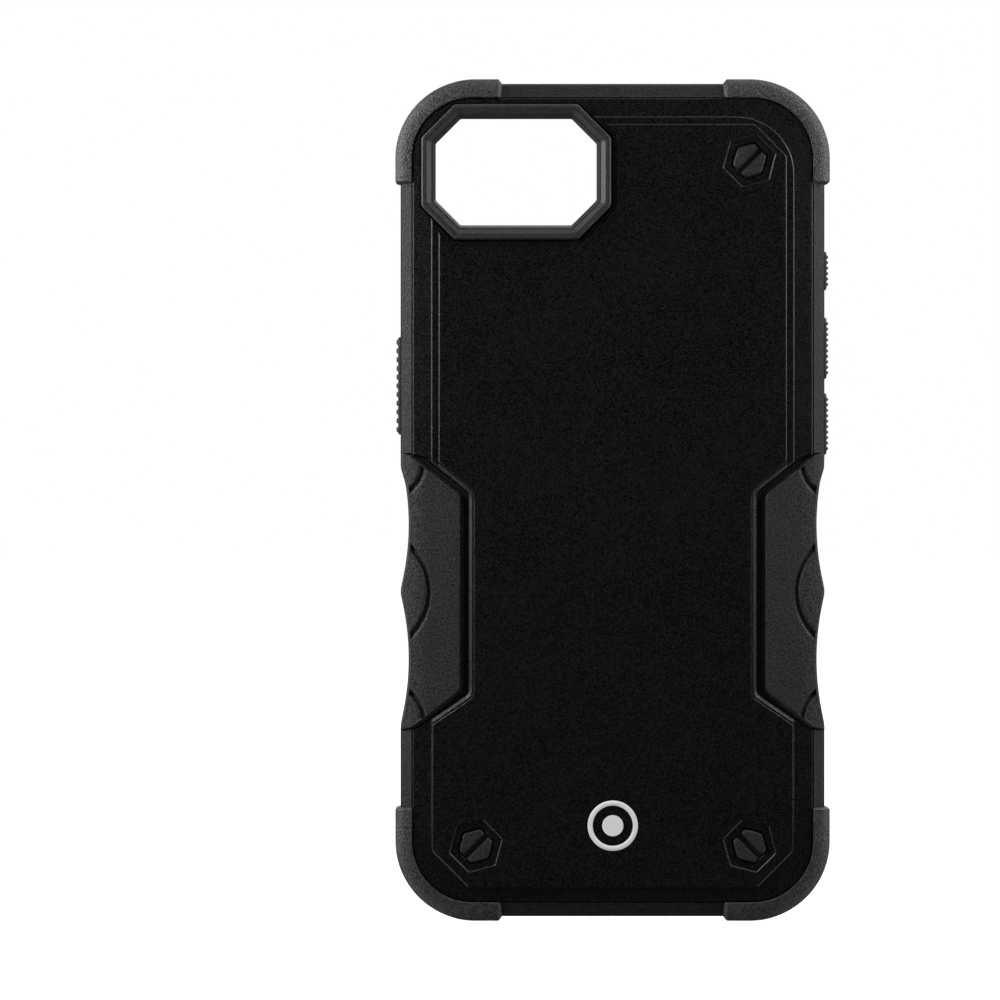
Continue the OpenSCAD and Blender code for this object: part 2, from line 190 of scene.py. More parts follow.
class Wire:      # one output of a node; sums and products of wires add Math nodes
    def __init__(self, finish, socket):
        self.finish = finish
        self.socket = socket

    def math(self, operation, *others):
        return self.finish.add("ShaderNodeMath", {"operation": operation}, others)

    def __add__(self, other):
        return self.math("ADD", self, other)

    def __sub__(self, other):
        return self.math("SUBTRACT", self, other)

    def __rsub__(self, other):
        return self.math("SUBTRACT", other, self)

    def __mul__(self, other):
        return self.math("MULTIPLY", self, other)

    def __truediv__(self, other):
        return self.math("DIVIDE", self, other)

    def __rtruediv__(self, other):
        return self.math("DIVIDE", other, self)

    __radd__ = __add__
    __rmul__ = __mul__


class Finish:    # one material with a principled shader
    def __init__(self, name):
        self.material = bpy.data.materials.new(name)
        self.material.use_nodes = True
        self.tree = self.material.node_tree
        self.skin = self.tree.nodes["Principled BSDF"]
        self.place = self.add("ShaderNodeTexCoord", {}, {}, "Object")

    def add(self, kind, settings, inputs, output=0):
        made = self.tree.nodes.new(kind)
        for key, value in settings.items():
            setattr(made, key, value)
        pairs = inputs.items() if isinstance(inputs, dict) else enumerate(inputs)
        for key, value in pairs:
            self.feed(made.inputs[key], value)
        return Wire(self, made.outputs[output])

    def feed(self, socket, value):
        if isinstance(value, Wire):
            self.tree.links.new(value.socket, socket)
        else:
            socket.default_value = value

    def set(self, **values):
        for key, value in values.items():
            self.feed(self.skin.inputs[key.replace("_", " ")], value)

    def noise(self, size, detail, rough):              # size of a speck in millimetres
        inputs = {"Vector": self.place, "Scale": 1 / (size * mm), "Detail": detail, "Roughness": rough}
        return self.add("ShaderNodeTexNoise", {"noise_dimensions": "3D"}, inputs)

    def mix(self, share, first, second):
        return self.add("ShaderNodeMix", {"data_type": "RGBA", "clamp_factor": True},
                        {0: share, 6: first, 7: second}, 2)

    def bump(self, height, depth):                     # depth in millimetres for a height of 1
        return self.add("ShaderNodeBump", {}, {"Distance": depth * mm, "Height": height})


def grey(level, warm=0.0):
    return (level * (1 + warm), level, level * (1 - warm), 1)


# Moulded plastic or rubber: the tone goes from dark to light with fine specks and soft patches,
# t = (specks - 0.5) / spread + (patches - 0.5) cloud + fill, and the specks also grain the face.
def moulded(name, look):
    finish = Finish(name)
    patches = finish.noise(look["patch"], 2.0, 0.6)
    grain = finish.noise(look["grain"], 2.0, 0.6)
    fine = finish.noise(look["grain"] * 0.5, 1.0, 0.5)
    specks = grain * 0.65 + fine * 0.35
    tone = (specks - 0.5) / look["spread"] + (patches - 0.5) * look["cloud"] + look["fill"]
    dark, light = grey(look["dark"], look["warm"]), grey(look["light"], look["warm"])
    finish.set(Base_Color=finish.mix(tone, dark, light),
               Roughness=look["rough"] + (patches - 0.5) * 0.1 + (grain - 0.5) * look["uneven"],
               Normal=finish.bump(grain * 0.7 + fine * 0.3, look["height"]),
               Specular_IOR_Level=look["gloss"])
    return finish


finishLooks = {          # tones from 0 to 1, patch, grain and height in millimetres
    "soft_sleeve": dict(
        dark=0.0018, light=0.0176, warm=0.03, patch=9, grain=0.34, spread=0.20, cloud=0.4, fill=0.5,
        rough=0.44, uneven=0.6, height=0.17, gloss=0.21),
    "hard_shell": dict(
        dark=0.0, light=0.0141, warm=0.03, patch=14, grain=0.26, spread=0.16, cloud=0.2, fill=0.12,
        rough=0.31, uneven=0.4, height=0.08, gloss=0.25),
    "ring_plastic": dict(
        dark=0.0141, light=0.0435, warm=0.01, patch=8, grain=0.28, spread=0.20, cloud=0.3, fill=0.5,
        rough=0.44, uneven=0.4, height=0.035, gloss=0.26),
    "grip_rubber": dict(
        dark=0.0082, light=0.0388, warm=0.015, patch=5, grain=0.40, spread=0.20, cloud=0.3, fill=0.5,
        rough=0.52, uneven=0.5, height=0.17, gloss=0.24),
    "bumper_rubber": dict(
        dark=0.0059, light=0.05, warm=0.03, patch=7, grain=0.36, spread=0.22, cloud=0.4, fill=0.5,
        rough=0.42, uneven=0.7, height=0.20, gloss=0.41),
    "stud_rubber": dict(
        dark=0.0118, light=0.0388, warm=0.01, patch=3, grain=0.30, spread=0.22, cloud=0.3, fill=0.5,
        rough=0.44, uneven=0.4, height=0.04, gloss=0.29),
    "badge_print": dict(
        dark=0.88, light=0.97, warm=0.01, patch=2, grain=0.30, spread=0.4, cloud=0.3, fill=0.5,
        rough=0.38, uneven=0.2, height=0.006, gloss=0.5),
    "button_rubber": dict(
        dark=0.0082, light=0.0294, warm=0.03, patch=4, grain=0.32, spread=0.22, cloud=0.3, fill=0.5,
        rough=0.50, uneven=0.4, height=0.06, gloss=0.29),
    "web_rubber": dict(
        dark=0.0035, light=0.0118, warm=0.03, patch=3, grain=0.32, spread=0.22, cloud=0.3, fill=0.5,
        rough=0.60, uneven=0.3, height=0.05, gloss=0.24),
}
finishes = {name: moulded(name, look) for name, look in finishLooks.items()}


# Gives a piece its finish, smooth shading with crisp edges, and its place in the model.
def ready(piece, body, node, slot, crease=38):
    piece.data.materials.clear()
    piece.data.materials.append(finishes[slot].material)
    piece.data.shade_smooth()
    piece.data.set_sharp_from_angle(angle=math.radians(crease))
    even = piece.modifiers.new("even", "WEIGHTED_NORMAL")
    even.keep_sharp = True
    even.weight = 100
    if body:
        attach(piece, body)
    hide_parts(node)
    return piece


camera = {"distance": 1200, "across": 183.5, "aside": -20.6, "up": 77.0}      # millimetres


def makeCamera():
    eye = bpy.data.objects.new("camera", bpy.data.cameras.new("camera"))
    sensor = 36
    eye.data.sensor_width = sensor
    eye.data.lens = sensor * camera["distance"] / camera["across"]
    eye.data.clip_start = 0.05
    eye.data.clip_end = 50
    eye.location = (camera["aside"] * mm, -camera["distance"] * mm, camera["up"] * mm)
    eye.rotation_euler = (math.pi / 2, 0, 0)
    bpy.context.scene.collection.objects.link(eye)
    bpy.context.scene.camera = eye


studio = {
    "boxes": [        # place, size, power, all aimed at the middle of the case; metres and watts
        ("left_box", (-0.20, -0.08, 0.17), (0.10, 0.12), 0.51),
        ("right_box", (0.20, -0.08, 0.18), (0.10, 0.12), 0.31),
        ("left_strip", (-0.42, -0.03, 0.24), (0.16, 0.34), 1.44),
        ("right_strip", (0.42, -0.03, 0.24), (0.16, 0.34), 1.19),
        ("top_box", (0.15, -0.04, 0.60), (0.40, 0.20), 1.36),
        ("low_left", (-0.22, -0.05, -0.16), (0.12, 0.12), 0.24),
        ("low_right", (0.24, -0.05, -0.16), (0.12, 0.12), 0.22),
        ("back_box", (0.30, 1.30, 1.00), (1.4, 1.4), 10),
    ],
    "surround": 0.10,
    "backdrop": 1.0,
    "floorReach": 8.0, "floorTone": 0.5, "floorGlow": 0.985,
}


# Area lights round the case, and a world that the camera sees white but that lights it faintly.
def makeStudio():
    for name, place, size, power in studio["boxes"]:
        lamp = bpy.data.lights.new(name, "AREA")
        lamp.shape = "RECTANGLE"
        lamp.size, lamp.size_y = size
        lamp.energy = power
        thing = bpy.data.objects.new(name, lamp)
        thing.location = place
        aim = np.array([0, 0, midZ * mm]) - np.array(place)
        flat = math.hypot(aim[0], aim[1])
        thing.rotation_euler = (math.atan2(flat, -aim[2]), 0, math.atan2(-aim[0], aim[1]))
        thing.visible_camera = False
        bpy.context.scene.collection.objects.link(thing)
    world = bpy.data.worlds.new("studio")
    world.use_nodes = True
    bpy.context.scene.world = world
    nodes, links = world.node_tree.nodes, world.node_tree.links
    ray = nodes.new("ShaderNodeLightPath")
    level = nodes.new("ShaderNodeMix")
    level.inputs[2].default_value = studio["surround"]
    level.inputs[3].default_value = studio["backdrop"]
    links.new(ray.outputs["Is Camera Ray"], level.inputs[0])
    links.new(level.outputs[0], nodes["Background"].inputs["Strength"])
    nodes["Background"].inputs["Color"].default_value = (1, 1, 1, 1)


def makeFloor():
    reach = studio["floorReach"]
    corners = [(x, y, 0) for x, y in rectangle(-reach, reach, -reach, reach)]
    mesh = bpy.data.meshes.new("floor")
    mesh.from_pydata(corners, [], [(0, 1, 2, 3)])
    floor = bpy.data.objects.new("floor", mesh)
    paint = Finish("floor_paint")
    paint.set(Base_Color=grey(studio["floorTone"]), Roughness=0.9, Specular_IOR_Level=0.1,
              Emission_Color=grey(1.0), Emission_Strength=studio["floorGlow"])
    mesh.materials.append(paint.material)
    bpy.context.scene.collection.objects.link(floor)
    floor.visible_diffuse = False       # the black case isn't lit or mirrored grey by the floor
    floor.visible_glossy = False
    floor.visible_shadow = False        # the low boxes stand in for light thrown up by the table


makeCamera()
makeStudio()
makeFloor()
bpy.context.scene.view_settings.view_transform = "Standard"
print("camera, light and floor are set")


hollows = {"deep": 1.5, "fromMiddle": 12.25, "halfLength": 11.7, "blend": 0.16, "reach": 26, "fade": 0.8}
gripLow, gripHigh = (np.array(corner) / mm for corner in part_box("grip_right"))
gripMidZ = (gripLow[2] + gripHigh[2]) / 2
grip = {
    "faceDepth": 0.35, "flange": 0.7, "flangeDepth": 1.12, "foot": 1.5, "wall": 2.0,
    "bevelFrom": 5.0, "sideFrom": 1.5, "groove": 0.5, "grooveDeep": 0.6, "round": 0.3,
    "lens": 11.5, "lensEdge": 5.2, "arc": 6.2, "arcEdge": 4.2, "arcFromMiddle": 23.4,
    "notchDepth": (2.9, 3.3), "notch": 1.9, "slant": 0.35, "fillet": 0.6,
}


# Side view of a grip's side part, as (y, z): its top end steps down below the lowest button.
def gripSide():
    low, high, end = gripLow[2], gripHigh[2], gripHigh[1]
    behind, step = panelY - 2, high - grip["notch"]
    a, b = (panelY + d for d in grip["notchDepth"])
    return [(behind, low), (end, low), (end, step), (b, step), (a, high), (behind, high)]


# How far the side wall is scooped in at height z: a parabola each side of the grip's middle,
# deep (1 - t^2), melted into the straight wall by (f + sqrt(f^2 + k^2)) / 2 and faded out
# past the grip's ends by 1 / (1 + exp).
def scooped(z):
    t = (np.abs(z - gripMidZ) - hollows["fromMiddle"]) / hollows["halfLength"]
    f = hollows["deep"] * (1 - t ** 2)
    k = hollows["blend"]
    away = 1 / (1 + np.exp((np.abs(z - gripMidZ) - hollows["reach"]) / hollows["fade"]))
    return np.maximum((f + np.sqrt(f ** 2 + k ** 2)) / 2 - 0.012, 0) * away


sleeve = {
    "corner": 13.75,
    "underShell": 1.5, "recess": (2.1, 2.6), "recessCorner": 11.15, "rim": 1.0, "ridge": 0.3,
    "sideStart": 2.2, "frontBevel": 1.7,
    "lip": (4.1, 3.9), "lipCorner": 9.65, "lipSlope": 0.7, "lipUnder": 10.5,
    "pocket": (2.9, 2.7), "pocketCorner": 10.85, "pocketFloor": 2.5,
    "port": (13.0, 6.2), "slot": (7.6, 2.0), "slotFrom": 13.7, "portDepth": 6.5,
    "windowRoom": 0.9, "windowCorner": 1.5,
    "windowFlare": [(0, -4.5), (0, -0.35), (-0.05, -0.18), (-0.18, -0.03), (-0.5, 0.3)],
    "portFlare": [(-0.6, -0.4), (-0.22, -0.02), (-0.06, 0.1), (0, 0.28), (0, 5)],
    "cameraFlare": [(2.0, 0.5), (2.05, 1.4), (2.25, 1.6), (2.25, 2.4), (2.0, 2.6), (2.0, 3.5)],
}
buttons = {             # node, side, web node
    "action_button": (1, "action_button_web"), "volume_up_button": (1, "volume_up_web"),
    "volume_down_button": (1, "volume_down_web"), "side_button": (-1, "side_button_web"),
}


# Rows of side inset, end inset, corner radius, depth and share of the hollows, from the
# recess under the shell, out over the side and the lip, and down to the pocket's floor.
def sleeveProfile():
    s, corner, front = sleeve, sleeve["corner"], caseDepth
    bevel, slope, ridge, rim = s["frontBevel"], s["lipSlope"], s["ridge"], s["rim"]
    bedSide, bedEnd = s["recess"]
    lipSide, lipEnd = s["lip"]
    wallSide, wallEnd = s["pocket"]
    bedCorner, lipCorner, wallCorner = s["recessCorner"], s["lipCorner"], s["pocketCorner"]
    rows = [
        (bedSide, bedEnd, bedCorner, s["underShell"], 0, 0),
        (bedSide, bedEnd, bedCorner, rim, 0, 0.05),
        (bedSide - 0.1, bedEnd - 0.1, bedCorner + 0.1, rim - 0.02, 0, 0.04),
        (bedSide - ridge, bedEnd - ridge, bedCorner + ridge, rim + 0.2, 0.1, 0.04),
        (0, 0, corner, s["sideStart"], 1, 0.7),
        (0, 0, corner, front - bevel, 1, 0.5),
        (bevel, bevel, corner - bevel, front, 0.75, 0.28),
        (lipSide - slope, lipEnd - slope, lipCorner + slope, front, 0, 0.22),
        (lipSide, lipEnd, lipCorner, front - slope, 0, 0.25),
        (lipSide, lipEnd, lipCorner, s["lipUnder"], 0, 0.12),
        (wallSide, wallEnd, wallCorner, s["lipUnder"], 0, 0.15),
        (wallSide, wallEnd, wallCorner, s["pocketFloor"], 0, 0.5),
        (wallSide + 3, wallEnd + 3, wallCorner - 3, s["pocketFloor"], 0, 0),
    ]
    rows = np.array(rows, float)
    return eased(rows[:, :5], rows[:, 5], 5, measure=[0, 3])


# The tray: the profile's rows carried round a rounded rectangle, each pushed in by its share of
# the hollows, then the openings cut through it.
def makeSleeve():
    p = sleeveProfile()
    loops = roundRectLoops(halfW - p[:, 0], halfH - p[:, 1], p[:, 2], alongSide=150)
    z = loops[..., 1] + midZ
    loops[..., 0] -= np.sign(loops[..., 0]) * scooped(z) * p[:, 4:5] * (np.abs(loops[..., 0]) > halfW - 8)
    loops[..., 1] = z
    piece = solid("inner_sleeve_skin", atDepth(loops, p[:, 3]))
    s = sleeve
    tools = [plateGrid(ringOutline, s["cameraFlare"], 0.5)]      # flared on both faces
    # beds of the grips
    for side in (-1, 1):
        tools.append(barGrid(gripSide(), [(0, halfW - grip["wall"]), (0, halfW + 6)], 0.1, side, 2))
    # windows of the buttons, flared where they meet the side wall
    for node, (side, web) in buttons.items():
        low, high = (np.array(c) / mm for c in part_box(node))
        room = s["windowRoom"]
        window = rectangle(low[1] - room, high[1] + room, low[2] - room, high[2] + room)
        rows = [(e, halfW + out) for e, out in s["windowFlare"]]
        tools.append(barGrid(window, rows, s["windowCorner"], side))
    # port and sound slots through the bottom wall
    for x, (w, h) in [(0, s["port"]), (-s["slotFrom"], s["slot"]), (s["slotFrom"], s["slot"])]:
        y = panelY + s["portDepth"]
        hole = rectangle(x - w / 2, x + w / 2, y - h / 2, y + h / 2)
        rows = np.array(s["portFlare"])
        loops = np.stack([eased(inwards(hole, e), h * 0.42, 8, closed=True) for e in rows[:, 0]])
        height = np.broadcast_to(sleeveLow[2] + rows[:, 1:], loops.shape[:2])
        tools.append(np.stack([loops[..., 0], loops[..., 1], height], -1))
    combine(piece, solid("sleeve_tools", *tools), "DIFFERENCE")
    return ready(piece, "case", "inner_sleeve", "soft_sleeve")


ringLow, ringHigh = (np.array(corner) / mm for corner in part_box("camera_ring"))
ring = {
    "corner": 6.1, "soft": 0.45, "foot": 1.5,
    # distance in from the outer wall, depth below the top, and how much that corner is rounded
    "rows": [(0, 0.34, 0.12), (0.26, 0, 0.1), (0.78, 0, 0.04), (0.84, 0.13, 0.03), (0.93, 0.13, 0.03),
             (0.99, 0.05, 0.03), (1.84, 0.62, 0.05), (1.90, 0.80, 0.03), (2.0, 0.82, 0.03),
             (2.06, 0.76, 0.03), (2.3, 1.2, 0.1), (2.5, 1.7, 0.2), (2.65, 2.2, 0.0)],
}


# A rectangle whose corners are cut off by c along each side, anticlockwise.
def octagon(x0, x1, z0, z1, c):
    return [(x0 + c, z0), (x1 - c, z0), (x1, z0 + c), (x1, z1 - c),
            (x1 - c, z1), (x0 + c, z1), (x0, z1 - c), (x0, z0 + c)]


ringOutline = octagon(ringLow[0], ringHigh[0], ringLow[2], ringHigh[2], ring["corner"])


# The ring's band from its outer wall over the top and two fine grooves to the inner wall, as a
# closed profile of (distance in, depth) carried round the octagon.
def makeRing():
    top, foot = ringLow[1] - panelY, ring["foot"]
    rows = [(0, foot, 0)] + [(e, top + d, cut) for e, d, cut in ring["rows"]]
    rows = np.array(rows + [(rows[-1][0], foot, 0)])
    profile = eased(rows[:, :2], rows[:, 2], 3)
    loops = np.stack([eased(inwards(ringOutline, e), ring["soft"] * (1 - e / 6), 4, closed=True)
                      for e in profile[:, 0]])
    grid = atDepth(loops, profile[:, 1]).transpose(1, 0, 2)      # round the ring first, then the profile
    return ready(solid("camera_ring_band", grid, hoop=True), "case", "camera_ring", "ring_plastic", 25)


shell = {
    "corner": 11.05, "under": 1.5, "edge": 0.85, "band": 3.6, "step": 0.26, "riser": 0.17, "chamfer": 0.2,
    "inset": 1.2, "cut": 5.8, "lowCut": 6.65, "lowDrop": 0.9, "ease": 3.0,
    # (distance in from an outline, depth) of the panel's edge and of the beds round ring and grips
    "panelEdge": [(-0.10, 0.45), (-0.04, 0.26), (0.0, 0.17), (0.15, 0.03), (0.21, 0.006), (0.3, 0)],
    "ringBed": [(-1.7, -0.4), (-1.30, -0.02), (-1.24, 0.03), (-1.08, 0.17), (-1.0, 0.20), (-0.44, 0.22),
                (-0.34, 0.28), (-0.3, 0.42), (-0.3, 2)],
    "gripBed": [(-0.7, -0.3), (-0.34, -0.015), (-0.26, 0.03), (-0.04, 0.15), (0.02, 0.15), (0.16, 0.03),
                (0.24, 0.02), (0.34, 0.08), (0.70, 0.42), (0.80, 0.52), (0.88, 0.75), (1.05, 1.2),
                (1.1, 2)],
}
studs = {
    "recess": 5.05, "recessDepth": 0.24, "hole": 3.55, "radius": 3.1, "slot": 1.15,
    "long": 2.7, "top": 0.05, "floorRoom": 0.4, "floor": 1.3,
}
studNodes = ["stud_pair_top_right", "stud_pair_bottom_left", "stud_pair_bottom_right"]
badge = {"radius": 4.6, "ring": 0.92, "disc": 1.93, "deep": 0.15, "proud": 0.012}


# Middle of a node's box as seen from behind.
def middle(node):
    low, high = (np.array(corner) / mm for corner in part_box(node))
    return np.array([(low[0] + high[0]) / 2, (low[2] + high[2]) / 2])


# A regular polygon, anticlockwise, with its first corner turned from the X axis.
def regular(centre, radius, sides, turned):
    angle = math.radians(turned) + np.arange(sides) * 2 * math.pi / sides
    return np.asarray(centre) + radius * np.stack([np.cos(angle), np.sin(angle)], 1)


# A hexagon with flat sides across the diagonal that points to the stud's corner.
def hexagonAt(node, radius):
    x, z = middle(node)
    diagonal = 45 if x * (z - midZ) > 0 else 135
    return regular((x, z), radius, 6, diagonal + 30)


# The same loop on the other side of x = 0, still anticlockwise.
def mirrored(loop):
    loop = np.asarray(loop, float) * [-1, 1]
    return loop[::-1]


# Outline of the opening beside the right-hand grip, which follows the grip at a distance.
def gripWindow():
    x0, top, low = gripLow[0] - 2.4, gripHigh[2] + 0.6, gripLow[2] - 0.9
    x1 = halfW + 5
    return [(x1, low), (x1, top), (x0 + 9.3, top), (x0 + 0.5, top - 7.0), (x0, top - 8.1),
            (x0, low + 7.6), (x0 + 0.5, low + 6.7), (x0 + 10.4, low)]


# The raised panel: cut corners, and a little wider below the grips' middle.
def panelOutline():
    wide, narrow = shellHigh[0] - shell["band"], shellHigh[0] - shell["band"] - shell["inset"]
    low = shellLow[2] + shell["band"] - shell["lowDrop"]
    high = shellHigh[2] - shell["band"] - shell["inset"]
    c, b = shell["cut"], shell["lowCut"]
    right = [(wide - b, low), (wide, low + b), (wide, gripMidZ), (narrow, gripMidZ), (narrow, high - c),
             (narrow - c, high)]
    return right + [(-x, z) for x, z in reversed(right)]


# The shell: a rounded rectangle whose band slopes up to the panel, the panel on top of it, and
# beds cut for ring, grips, studs and badge. The band's corners grow rounder towards the panel.
def makeShell():
    w, h = shellHigh[0], (shellHigh[2] - shellLow[2]) / 2
    b = shell["band"]
    e, r, c, s = shell["edge"], shell["riser"], shell["chamfer"], shell["step"]
    rows = np.array([(0, shell["under"], 0), (0, e + c, 0.05), (c, e - 0.02, 0.05), (b - r, s + r, 0.05),
                     (b, s, 0.05), (b + 1.5, s, 0)])
    p = eased(rows[:, :2], rows[:, 2], 4)
    radius = shell["corner"] - p[:, 0] + shell["ease"] * np.clip(p[:, 0] / b, 0, 1)
    loops = roundRectLoops(w - p[:, 0], h - p[:, 0], radius, 4, 4, 24)
    loops[..., 1] += midZ
    piece = solid("outer_shell_plate", atDepth(loops, p[:, 1]))
    panel = plateGrid(panelOutline(), shell["panelEdge"], 0.5)
    combine(piece, solid("panel_tool", panel), "UNION")
    tools = [plateGrid(ringOutline, shell["ringBed"], 0.5)]
    for outline in (gripWindow(), mirrored(gripWindow())):
        tools.append(plateGrid(outline, shell["gripBed"], 1.3))
    d = studs["recessDepth"]
    recess = [(-0.3, -0.2), (-0.10, -0.012), (-0.02, 0.03), (0.14, d - 0.05), (0.24, d)]
    hole = [(-0.2, d - 0.1), (-0.1, d - 0.01), (0.0, d + 0.12), (0, 2)]
    for node in studNodes:
        tools.append(plateGrid(hexagonAt(node, studs["recess"]), recess, 0.25))
        tools.append(plateGrid(hexagonAt(node, studs["hole"]), hole, 0.25))
    disc = regular(middle("badge"), badge["radius"] + 0.02, 72, 0)
    tools.append(plateGrid(disc, [(0, -0.5), (0, badge["deep"])], 0))
    for tool in tools:
        combine(piece, solid("shell_tool", tool), "DIFFERENCE")
    return ready(piece, "case", "outer_shell", "hard_shell", 30)


# Each pair is a hexagon split by a slot across the case's corner, standing on a thin floor.
def makeStuds():
    r, s, a = studs["radius"], studs["slot"] / 2, studs["long"]
    half = [(-a, s), (a, s), (a, r * 0.5), (0, r), (-a, r * 0.5)]      # one stud beside the slot
    rows = [(-0.26, 1.5), (-0.26, 0.78), (-0.18, 0.70), (0, 0.66), (0, 0.22), (0.05, 0.12),
            (0.16, studs["top"])]
    for node in studNodes:
        x, z = middle(node)
        angle = math.radians(45 if x * (z - midZ) > 0 else 135)
        turn = np.array([[math.cos(angle), math.sin(angle)], [-math.sin(angle), math.cos(angle)]])
        halves = [sign * np.asarray(half) @ turn + [x, z] for sign in (1, -1)]
        grids = [plateGrid(outline, rows, 0.42) for outline in halves]
        floor = [(0, rows[0][1]), (0, studs["floor"])]
        grids.append(plateGrid(hexagonAt(node, r + studs["floorRoom"]), floor, 0.2))
        ready(solid(node + "_hex", *grids), "case", node, "stud_rubber", 30)


# A flat ring as a closed profile carried round a circle, with a disc in its middle.
def makeBadge():
    at, top = middle("badge"), -badge["proud"]
    deep, r, w = badge["deep"] - 0.01, badge["radius"], badge["ring"]
    rows = [(0, deep), (0, top + 0.02), (0.03, top), (w - 0.03, top), (w, top + 0.02), (w, deep)]
    band = plateGrid(regular(at, r, 96, 0), rows, 0).transpose(1, 0, 2)
    piece = solid("badge_ring", band, hoop=True)
    disc = plateGrid(regular(at, badge["disc"], 64, 0), [(0, deep), (0, top + 0.02), (0.03, top)], 0)
    combine(piece, solid("badge_disc", disc), "UNION")
    return ready(piece, "case", "badge", "badge_print")


# A groove along a circle: deep (1 - (off / half width)^4), where off is the distance from the circle.
def circleGroove(x, z, centreX, centreZ, radius):
    off = np.abs(np.hypot(x - centreX, z - centreZ) - radius) / grip["groove"]
    return grip["grooveDeep"] * np.clip(1 - off ** 4, 0, 1)


# The right-hand grip as rows of closed profiles from its bottom end to its top end. In a row,
# x runs from the inner edge over the back face and the bevel to the scooped side wall; the bevel
# drops by rise t^2 with t from 0 to 1 over its width.
def gripGrid():
    g = grip
    x0, low, high = gripLow[0], gripLow[2] + g["slant"], gripHigh[2] - g["slant"]
    near = np.cumsum(np.r_[0, np.full(6, 0.04), np.full(6, 0.09)])
    z = np.r_[low + near, np.arange(low + 1.0, high - 0.9, 0.2), high - near[::-1]]
    inner = np.interp(z, [low, low + 6.7, low + 7.6, high - 8.0, high - 7.1, high],
                      [x0 + 8.9, x0 + 0.3, x0, x0, x0 + 0.3, x0 + 9.3])
    fromEnd = np.minimum(z - low, high - z)
    rounding = g["round"] * (1 - np.sqrt(1 - np.clip(1 - fromEnd / g["round"], 0, 1) ** 2))
    inner = inner + rounding
    outer = halfW - scooped(z)
    top = g["faceDepth"] + rounding
    wall, foot, end = halfW - g["wall"], g["foot"], gripHigh[1] - panelY
    bevelX = halfW - g["bevelFrom"]
    fillet = g["fillet"]
    last = outer - fillet
    start = inner + 0.34
    flat = np.maximum(np.minimum(bevelX, last), start + 0.05)
    xs, ds = [], []

    def column(x, depth):
        xs.append(x + 0 * z)
        ds.append(depth + 0 * z)

    def bevel(x):
        return (g["sideFrom"] - g["faceDepth"]) * np.clip((x - bevelX) / g["bevelFrom"], 0, 1) ** 2

    flange, ledge = inner - g["flange"], g["flangeDepth"]
    edge = [(flange, foot), (flange, ledge + 0.1), (flange + 0.1, ledge), (inner - 0.03, ledge - 0.02),
            (inner, ledge - 0.1), (inner, top + 0.3), (inner + 0.02, top + 0.16),
            (inner + 0.09, top + 0.05), (inner + 0.2, top + 0.008)]
    for x, depth in edge:
        column(x, depth)
    face = len(xs)
    for share in np.linspace(0, 1, 44):
        column(start + (flat - start) * share, top)
    for share in np.linspace(0, 1, 16)[1:]:
        x = flat + (last - flat) * share
        column(x, top + bevel(x))
    faceEnd = len(xs)
    lastDepth, edgeDepth = top + bevel(last), top + bevel(outer) + fillet * 0.9
    for turn in np.linspace(0, math.pi / 2, 7)[1:]:
        column(last + fillet * math.sin(turn), edgeDepth + (lastDepth - edgeDepth) * math.cos(turn))
    notch = g["notchDepth"]
    for depth in (*notch, *np.linspace(notch[1] + 0.6, end - 0.4, 8)):
        column(outer, depth)
    back = [(outer - 0.03, end - 0.18), (outer - 0.1, end - 0.05), (outer - 0.22, end), (wall, end),
            (wall, notch[1]), (wall, notch[0]), (wall, foot + 0.4),
            (np.minimum(inner + 0.3, wall - 0.1), foot + 0.02)]
    for x, depth in back:
        column(x, depth)
    x, d = np.stack(xs, 1), np.stack(ds, 1)
    zz = np.repeat(z[:, None], x.shape[1], 1)
    share = (zz - low) / (high - low)
    slant = g["slant"] * np.clip((x - x0 - 9) / 1.8, 0, 1)
    zz = zz + slant * (share ** 12 - (1 - share) ** 12)
    zz = zz - np.interp(d, notch, (0, g["notch"])) * np.clip((zz - high + 6) / 6, 0, 1)
    arcX, arc = halfW - g["arcEdge"] + g["arc"], g["arcFromMiddle"]
    deeper = np.maximum.reduce([
        circleGroove(x, zz, halfW - g["lensEdge"] + g["lens"], gripMidZ, g["lens"]),
        circleGroove(x, zz, arcX, gripMidZ + arc, g["arc"]),
        circleGroove(x, zz, arcX, gripMidZ - arc, g["arc"])])
    onFace = np.zeros_like(x)
    onFace[:, face:faceEnd] = 1
    fade = np.clip((outer[:, None] - x - 0.25) / 0.6, 0, 1)
    d = d + deeper * onFace * fade * fade * (3 - 2 * fade)
    return np.stack([x, panelY + d, zz], -1)


def makeGrips():
    grid = gripGrid()
    for node, side in (("grip_left", -1), ("grip_right", 1)):
        ready(solid(node + "_pad", grid * [side, 1, 1]), "case", node, "grip_rubber", 50)


bumper = {
    "side": 0.95, "end": 0.8, "acrossFrom": 20.0, "down": 18.3, "up": 20.0, "ramp": 1.0, "blunt": 0.55,
    # how much each corner of the two profiles is rounded, from the shell round to the inside
    "rounding": [0, 0.22, 0.75, 0.35, 1.0, 0.35, 0, 0, 0, 0, 0],
}
bumperNodes = {
    "bumper_top_left": (-1, 1), "bumper_top_right": (1, 1),
    "bumper_bottom_left": (-1, -1), "bumper_bottom_right": (1, -1),
}


